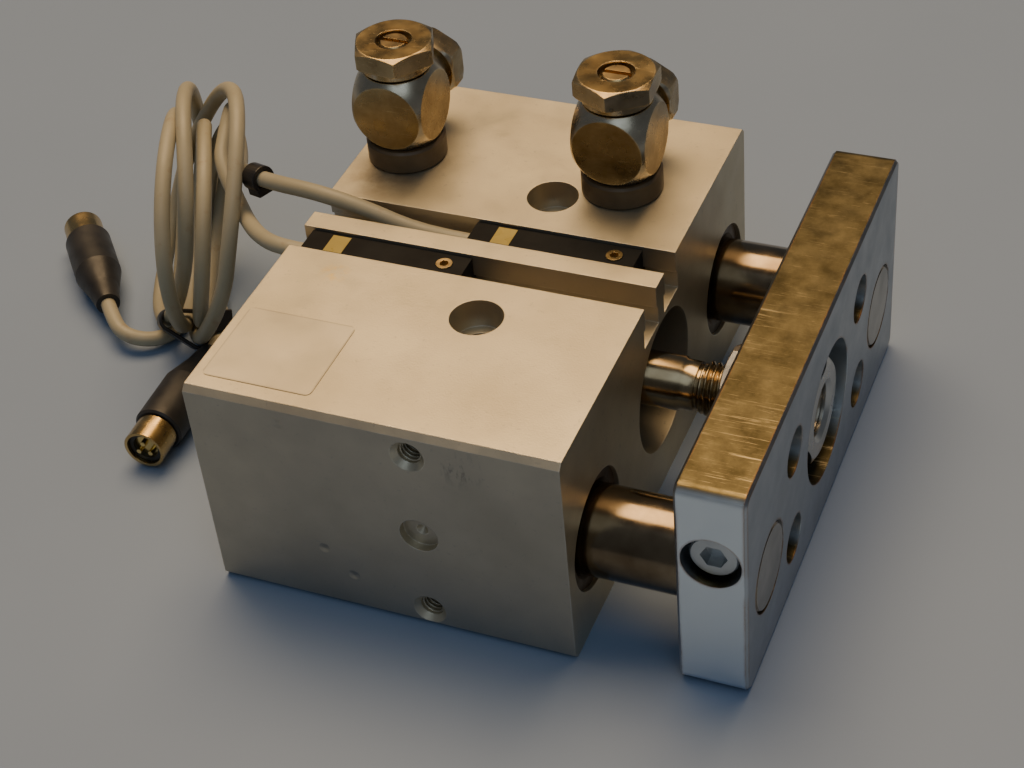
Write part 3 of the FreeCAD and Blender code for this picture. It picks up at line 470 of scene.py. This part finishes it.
class Look:
    """One procedural material; every texture runs in the row frame's metres."""

    def __init__(self, name):
        self.material = bpy.data.materials.new(name)
        self.material.use_nodes = True
        self.tree = self.material.node_tree
        self.shader = self.tree.nodes["Principled BSDF"]
        self.place = self.tree.nodes.new("ShaderNodeTexCoord").outputs["Object"]
        self.normal = None

    def add(self, kind, **settings):
        node = self.tree.nodes.new(kind)
        for key, value in settings.items():
            setattr(node, key, value)
        return node

    def wire(self, source, target):
        if hasattr(source, "links"):
            self.tree.links.new(source, target)
        else:
            target.default_value = source

    def stretched(self, stretch, turn):
        node = self.add("ShaderNodeMapping")
        self.wire(self.place, node.inputs["Vector"])
        node.inputs["Scale"].default_value = stretch
        node.inputs["Rotation"].default_value = [math.radians(a) for a in turn]
        return node.outputs["Vector"]

    def noise(self, scale, detail=4.0, rough=0.55, stretch=None, turn=(0, 0, 0)):
        node = self.add("ShaderNodeTexNoise")
        self.wire(self.place if stretch is None else self.stretched(stretch, turn), node.inputs["Vector"])
        node.inputs["Scale"].default_value = scale
        node.inputs["Detail"].default_value = detail
        node.inputs["Roughness"].default_value = rough
        return node.outputs["Fac"]

    def spread(self, value, low, high, to_low=0.0, to_high=1.0):
        node = self.add("ShaderNodeMapRange")
        self.wire(value, node.inputs["Value"])
        for key, number in (("From Min", low), ("From Max", high), ("To Min", to_low), ("To Max", to_high)):
            node.inputs[key].default_value = number
        return node.outputs["Result"]

    def calc(self, kind, first, second=0.0):
        node = self.add("ShaderNodeMath", operation=kind)
        self.wire(first, node.inputs[0])
        self.wire(second, node.inputs[1])
        return node.outputs[0]

    def times(self, first, second):
        return self.calc("MULTIPLY", first, second)

    def mix(self, amount, first, second):
        node = self.add("ShaderNodeMix", data_type="RGBA")
        self.wire(amount, node.inputs[0])
        self.wire(first if hasattr(first, "links") else (*first, 1.0), node.inputs[6])
        self.wire(second if hasattr(second, "links") else (*second, 1.0), node.inputs[7])
        return node.outputs[2]

    def mottled(self, scale, detail, first, second, low=0.35, high=0.65, rough=0.55):
        """Two tones that drift into each other."""
        return self.mix(self.spread(self.noise(scale, detail, rough), low, high), first, second)

    def over(self, tone, mask, strength, colour):
        """Colour laid over the tone where the mask is 1."""
        return self.mix(self.times(mask, strength), tone, colour)

    def uneven(self, scale, detail, low, high):
        """Roughness that drifts between two values."""
        return self.spread(self.noise(scale, detail), 0.3, 0.7, low, high)

    def split(self, vector):
        node = self.add("ShaderNodeSeparateXYZ")
        self.wire(vector, node.inputs[0])
        return node.outputs

    def facing(self, axis):
        """How far the surface faces along a row axis, -1 to 1."""
        node = self.add("ShaderNodeNewGeometry")
        return self.split(node.outputs["Normal"])[axis]

    def spot(self, centre, radius, soft):
        """1 inside a round spot, fading out at its rim."""
        node = self.add("ShaderNodeVectorMath", operation="DISTANCE")
        self.wire(self.place, node.inputs[0])
        node.inputs[1].default_value = [c * MM for c in centre]
        return self.spread(node.outputs["Value"], radius * MM * soft, radius * MM, 1.0, 0.0)

    def edge_normal(self, radius):
        """Normals as if every edge were broken by this radius."""
        node = self.add("ShaderNodeBevel", samples=4)
        node.inputs["Radius"].default_value = radius * MM
        return node.outputs["Normal"]

    def worn_edges(self, radius, scale, keen=0.05):
        """Patchy wear along the edges."""
        flat = self.add("ShaderNodeNewGeometry")
        dot = self.add("ShaderNodeVectorMath", operation="DOT_PRODUCT")
        self.wire(self.edge_normal(radius), dot.inputs[0])
        self.wire(flat.outputs["Normal"], dot.inputs[1])
        edge = self.spread(dot.outputs["Value"], 1.0, 1.0 - keen)
        return self.times(edge, self.spread(self.noise(scale), 0.35, 0.6))

    def bump(self, height, depth, strength=1.0):
        node = self.add("ShaderNodeBump")
        self.wire(height, node.inputs["Height"])
        node.inputs["Distance"].default_value = depth * MM
        node.inputs["Strength"].default_value = strength
        if self.normal is not None:
            self.wire(self.normal, node.inputs["Normal"])
        self.normal = node.outputs["Normal"]

    def finish(self, colour, metallic, roughness, **extra):
        self.wire(colour, self.shader.inputs["Base Color"])
        self.wire(metallic, self.shader.inputs["Metallic"])
        self.wire(roughness, self.shader.inputs["Roughness"])
        if self.normal is not None:
            self.wire(self.normal, self.shader.inputs["Normal"])
        for key, value in extra.items():
            self.wire(value, self.shader.inputs[key.replace("_", " ")])
        return self.material


BLOCK_TOP = 45.0
BLOCK_SIDE = -49.0
CENTRE_MARKS = ((-16.3, 41.2), (-11.9, 13.5), (-6.9, 8.3))


def anodised_block():
    """Pale anodised aluminium with stains by the far slot, paste by the label, a smudged side, and painted
    shade darkening the faces that face +Y and -Y.
    """
    look = Look("anodised_block")
    look.normal = look.edge_normal(0.25)
    tone = look.mottled(45, 5.0, (0.55, 0.495, 0.37), (0.69, 0.625, 0.475), high=0.68)
    specks = look.spread(look.noise(900, 3.0, 0.7), 0.62, 0.72)
    tone = look.over(tone, specks, 0.35, (0.30, 0.29, 0.27))
    stain = look.times(look.spot((-26.5, 15.5, BLOCK_TOP), 9.0, 0.1),
                       look.spread(look.noise(260, 5.0), 0.4, 0.65))
    tone = look.over(tone, stain, 0.55, (0.20, 0.12, 0.06))
    residue = look.times(look.spot((-22.2, -13.7, BLOCK_TOP), 3.2, 0.2),
                         look.spread(look.noise(700, 3.0), 0.45, 0.6))
    tone = look.over(tone, residue, 0.8, (0.72, 0.55, 0.22))
    strokes = look.noise(600, 4.0, 0.7, (1, 1, 0.35), (0, 25, 0))
    smudge = look.times(look.spot((16.3, BLOCK_SIDE, 39.7), 5.0, 0.3), look.spread(strokes, 0.50, 0.62))
    tone = look.over(tone, smudge, 0.6, (0.16, 0.15, 0.14))
    tone = look.mix(look.worn_edges(0.35, 300), tone, (0.82, 0.78, 0.66))
    # Painted shade: faces turned towards +Y or -Y are darkened to grey, standing in for the shade on the
    # block's sides.
    painted_side_shade = look.spread(look.calc("ABSOLUTE", look.facing(1)), 0.6, 0.9, 0.0, 0.35)
    tone = look.mix(painted_side_shade, tone, (0.25, 0.24, 0.27))
    look.bump(look.noise(2600, 2.0), 0.035, 0.55)
    look.bump(look.noise(500, 3.0), 0.03, 0.3)
    for x, z in CENTRE_MARKS:
        look.bump(look.times(look.spot((x, BLOCK_SIDE, z), 1.1, 0.1), -1.0), 0.25)
    return look.finish(tone, 0.88, look.uneven(140, 4.0, 0.40, 0.52))


def metal(name, light, dark, roughness, grain=1200, depth=0.01, stretch=None):
    """Metal with mottled tone, uneven gloss and fine grain."""
    look = Look(name)
    look.normal = look.edge_normal(0.15)
    tone = look.mottled(90, 5.0, dark, light)
    look.bump(look.noise(grain, 3.0, 0.6, stretch), depth, 0.6)
    return look.finish(tone, 1.0, look.uneven(260, 4.0, roughness * 0.75, roughness * 1.3))


def guide_steel():
    """Ground and polished round the rod, plain turned grey on its end face."""
    look = Look("guide_steel")
    look.normal = look.edge_normal(0.15)
    endward = look.spread(look.facing(0), 0.7, 0.9)
    ground = look.mottled(90, 5.0, (0.15, 0.105, 0.062), (0.30, 0.235, 0.155))
    turned = look.mottled(150, 5.0, (0.30, 0.30, 0.29), (0.44, 0.43, 0.41))
    rough = look.calc("MAXIMUM", look.uneven(260, 4.0, 0.13, 0.22), look.times(endward, 0.4))
    look.bump(look.noise(500, 3.0, 0.6, (1, 12, 12)), 0.004, 0.6)
    return look.finish(look.mix(endward, ground, turned), 1.0, rough)


def yoke_steel():
    """Grey front, the end facing -Y brightened by painted reflection, and a top in a dark warm tone that is
    painted reflection, with scratches across it.
    """
    look = Look("yoke_steel")
    look.normal = look.edge_normal(0.3)
    tone = look.mottled(40, 6.0, (0.29, 0.325, 0.37), (0.40, 0.44, 0.49), 0.3, 0.7, 0.6)
    # Painted reflection: faces turned towards -Y are brightened to pale blue-grey, standing in for the floor
    # they reflect.
    tone = look.mix(look.spread(look.facing(1), -0.6, -0.9), tone, (0.86, 0.92, 0.96))
    # Painted reflection: upward faces take a dark warm mottled tone in place of the grey, standing in for
    # the warm key light's reflection.
    upward = look.spread(look.facing(2), 0.6, 0.9)
    painted_top_reflection = look.mottled(160, 6.0, (0.080, 0.066, 0.032), (0.185, 0.155, 0.082), high=0.66, rough=0.65)
    tone = look.mix(upward, tone, painted_top_reflection)
    across = look.spread(look.noise(60, 6.0, 0.7, (1, 26, 1), (0, 0, 7)), 0.585, 0.66)
    slanted = look.spread(look.noise(48, 6.0, 0.7, (1, 30, 1), (0, 0, -11)), 0.60, 0.665)
    fine = look.spread(look.noise(210, 4.0, 0.7, (1, 14, 1), (0, 0, 2)), 0.60, 0.74)
    coarse = look.times(look.calc("MAXIMUM", across, slanted), look.spread(look.noise(22, 2.0), 0.40, 0.58))
    lines = look.calc("MAXIMUM", coarse, look.times(fine, 0.35))
    tone = look.over(tone, look.times(lines, upward), 0.8, (0.72, 0.60, 0.36))
    tone = look.mix(look.worn_edges(0.7, 120, 0.12), tone, (0.30, 0.16, 0.08))
    look.bump(look.noise(900, 3.0, stretch=(1, 6, 1)), 0.02, 0.5)
    look.bump(lines, 0.02, 0.5)
    return look.finish(tone, 1.0, look.uneven(200, 5.0, 0.30, 0.46))


def valve_nickel():
    """Nickel: silver on rounded faces, painted shade on the flat sides and painted warm light on top, with
    scratches.
    """
    look = Look("valve_nickel")
    look.normal = look.edge_normal(0.25)
    silver = look.mottled(150, 5.0, (0.42, 0.36, 0.26), (0.60, 0.53, 0.41), rough=0.6)
    # Painted shade: a darker warm copy of the nickel for the flat sides.
    painted_flat_side_shade = look.mottled(150, 5.0, (0.25, 0.175, 0.08), (0.44, 0.335, 0.175), rough=0.6)
    # Painted light: a warmer yellow copy of the nickel for the upward faces, standing in for the warm key
    # light.
    painted_top_light = look.mottled(150, 5.0, (0.30, 0.205, 0.085), (0.46, 0.34, 0.155), rough=0.6)
    lengthways = look.calc("ABSOLUTE", look.facing(0))
    side_on = look.calc("MAXIMUM", lengthways, look.calc("ABSOLUTE", look.facing(1)))
    # Flat sides get the painted shade, and upward faces get the painted warm light.
    tone = look.mix(look.spread(side_on, 0.975, 0.995), silver, painted_flat_side_shade)
    tone = look.mix(look.spread(look.facing(2), 0.75, 0.95), tone, painted_top_light)
    lines = look.spread(look.noise(120, 7.0, 0.75, (1, 14, 14), (0, 0, 35)), 0.60, 0.68)
    tone = look.over(tone, lines, 0.5, (0.80, 0.68, 0.42))
    tone = look.mix(look.worn_edges(0.5, 300), tone, (0.72, 0.58, 0.34))
    look.bump(look.noise(420, 3.0, 0.6, (1, 1, 9)), 0.02, 0.5)
    look.bump(lines, 0.015, 0.5)
    return look.finish(tone, 1.0, look.uneven(260, 4.0, 0.22, 0.36))


def plastic(name, light, dark, roughness, grain=900, depth=0.02, **extra):
    """Plastic or rubber with a drifting tone and a fine grain."""
    look = Look(name)
    tone = look.mottled(120, 4.0, dark, light)
    look.bump(look.noise(grain, 2.0), depth, 0.5)
    return look.finish(tone, 0.0, look.uneven(300, 3.0, roughness * 0.8, roughness * 1.2), **extra)


def cable_jacket():
    look = Look("cable_jacket")
    tone = look.mottled(60, 5.0, (0.35, 0.32, 0.225), (0.44, 0.40, 0.285), 0.3, 0.7)
    grime = look.spread(look.noise(220, 5.0, 0.65), 0.58, 0.72)
    tone = look.over(tone, grime, 0.45, (0.30, 0.19, 0.10))
    look.bump(look.noise(1500, 2.0), 0.012, 0.5)
    return look.finish(tone, 0.0, look.uneven(300, 3.0, 0.40, 0.55))


LABEL_CENTRE = (-21.9 * MM, -35.8 * MM)
LABEL_HALF = (10.2 * MM, 9.3 * MM)


def label_foil():
    """Bare foil with a darker line along its rim."""
    look = Look("label_foil")
    reach = []
    for part, centre, half in zip(look.split(look.place), LABEL_CENTRE, LABEL_HALF):
        reach.append(look.calc("SUBTRACT", look.calc("ABSOLUTE", look.calc("SUBTRACT", part, centre)), half))
    line = look.spread(look.calc("MAXIMUM", *reach), -0.35 * MM, -0.1 * MM)
    tone = look.mottled(45, 5.0, (0.57, 0.515, 0.395), (0.69, 0.63, 0.49), high=0.68)
    tone = look.over(tone, line, 0.45, (0.25, 0.22, 0.18))
    look.bump(look.noise(2200, 2.0), 0.02, 0.4)
    return look.finish(tone, 0.85, look.uneven(160, 4.0, 0.36, 0.46))


# Plain metals: light tone, dark tone, roughness, and where they differ the grain's scale, depth and stretch.
METALS = {
    "bush_bronze": ((0.55, 0.38, 0.18), (0.38, 0.25, 0.11), 0.35),
    "cap_aluminium": ((0.42, 0.40, 0.38), (0.26, 0.25, 0.24), 0.38, 1600),
    "spring_steel": ((0.22, 0.20, 0.18), (0.12, 0.11, 0.10), 0.35),
    "clamp_steel": ((0.66, 0.68, 0.69), (0.50, 0.52, 0.53), 0.38),
    "rod_steel": ((0.42, 0.33, 0.20), (0.24, 0.17, 0.09), 0.20, 600, 0.006, (1, 8, 8)),
    "zinc_steel": ((0.62, 0.62, 0.60), (0.46, 0.46, 0.44), 0.30, 1400, 0.015),
    "needle_brass": ((0.56, 0.40, 0.19), (0.40, 0.27, 0.12), 0.28),
    "set_screw_steel": ((0.60, 0.46, 0.24), (0.42, 0.30, 0.14), 0.3),
    "plug_brass": ((0.66, 0.48, 0.22), (0.48, 0.33, 0.14), 0.25),
    "plug_contacts": ((0.80, 0.62, 0.28), (0.66, 0.50, 0.20), 0.2),
}

# Plastics and rubbers: light tone, dark tone, roughness, and where they differ the grain's scale and depth.
PLASTICS = {
    "seal_rubber": ((0.115, 0.070, 0.036), (0.060, 0.036, 0.018), 0.45),
    "buffer_elastomer": ((0.05, 0.045, 0.04), (0.03, 0.028, 0.025), 0.5),
    "wear_ring_polymer": ((0.50, 0.45, 0.35), (0.42, 0.38, 0.30), 0.5),
    "magnet_ferrite": ((0.09, 0.09, 0.09), (0.05, 0.05, 0.05), 0.6),
    "valve_seal_polymer": ((0.150, 0.100, 0.052), (0.085, 0.056, 0.028), 0.5),
    "sensor_window": ((0.55, 0.43, 0.13), (0.42, 0.32, 0.08), 0.3),
    "tie_nylon": ((0.022, 0.020, 0.020), (0.010, 0.009, 0.009), 0.35),
    "plug_grip": ((0.030, 0.030, 0.031), (0.015, 0.015, 0.016), 0.45, 500, 0.05),
}


def materials():
    looks = {name: metal(name, *values) for name, values in METALS.items()}
    looks.update({name: plastic(name, *values) for name, values in PLASTICS.items()})
    looks["sensor_housing"] = plastic("sensor_housing", (0.014, 0.015, 0.016), (0.008, 0.008, 0.009), 0.5,
                                      Specular_IOR_Level=0.12)
    for make in (anodised_block, guide_steel, yoke_steel, valve_nickel, cable_jacket, label_foil):
        looks[make.__name__] = make()
    return looks


# ------------------------------------------------------------------ floor and light

FLOOR_HALF = 4.0
LIGHT_TARGET = Vector((0.0, 0.0, 0.02))
ROOM_COLOUR = (0.82, 0.90, 1.0, 1.0)
ROOM_STRENGTH = 0.10


def floor():
    look = Look("floor")
    tone = look.mottled(9, 4.0, (0.203, 0.280, 0.425), (0.217, 0.297, 0.446), 0.3, 0.7)
    look.bump(look.noise(300, 4.0), 0.05, 0.3)
    material = look.finish(tone, 0.0, 0.6)
    mesh = bpy.data.meshes.new("floor")
    corners = [(x * FLOOR_HALF, y * FLOOR_HALF, 0) for x, y in ((-1, -1), (1, -1), (1, 1), (-1, 1))]
    mesh.from_pydata(corners, [], [(0, 1, 2, 3)])
    obj = bpy.data.objects.new("floor", mesh)
    bpy.context.scene.collection.objects.link(obj)
    mesh.materials.append(material)


def softbox(name, place, size, energy, colour):
    data = bpy.data.lights.new(name, "AREA")
    data.shape = "RECTANGLE"
    data.size, data.size_y = size
    data.energy = energy
    data.color = colour
    obj = bpy.data.objects.new(name, data)
    obj.location = place
    obj.rotation_euler = (LIGHT_TARGET - Vector(place)).to_track_quat("-Z", "Y").to_euler()
    bpy.context.scene.collection.objects.link(obj)


def lights():
    softbox("key", (-0.42, 0.88, 2.45), (2.2, 1.7), 80.0, (1.0, 0.68, 0.36))
    softbox("overhead", (0.6, -1.3, 2.2), (1.8, 1.8), 9.0, (0.70, 0.85, 1.0))
    world = bpy.data.worlds.new("room")
    bpy.context.scene.world = world
    world.use_nodes = True
    background = world.node_tree.nodes["Background"]
    background.inputs["Color"].default_value = ROOM_COLOUR
    background.inputs["Strength"].default_value = ROOM_STRENGTH


# ------------------------------------------------------------------ assembly

def dress():
    """Give every CAD node and every piece made here the look of its slot."""
    looks = materials()
    slots = {entry["node"]: entry["material_slot"] for entry in frame["record"]["subparts"]}
    dressed = [(nodes[name], slot) for name, slot in slots.items()]
    for obj in bpy.context.scene.objects:
        if obj.type in ("MESH", "CURVE") and obj.get("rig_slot") and obj.name not in nodes:
            dressed.append((obj, obj["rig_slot"]))
    for obj, slot in dressed:
        obj.data.materials.clear()
        obj.data.materials.append(looks[slot])


place_camera()
cords()
piston_rod()
union_nuts()
hole_threads()
floor()
lights()
dress()
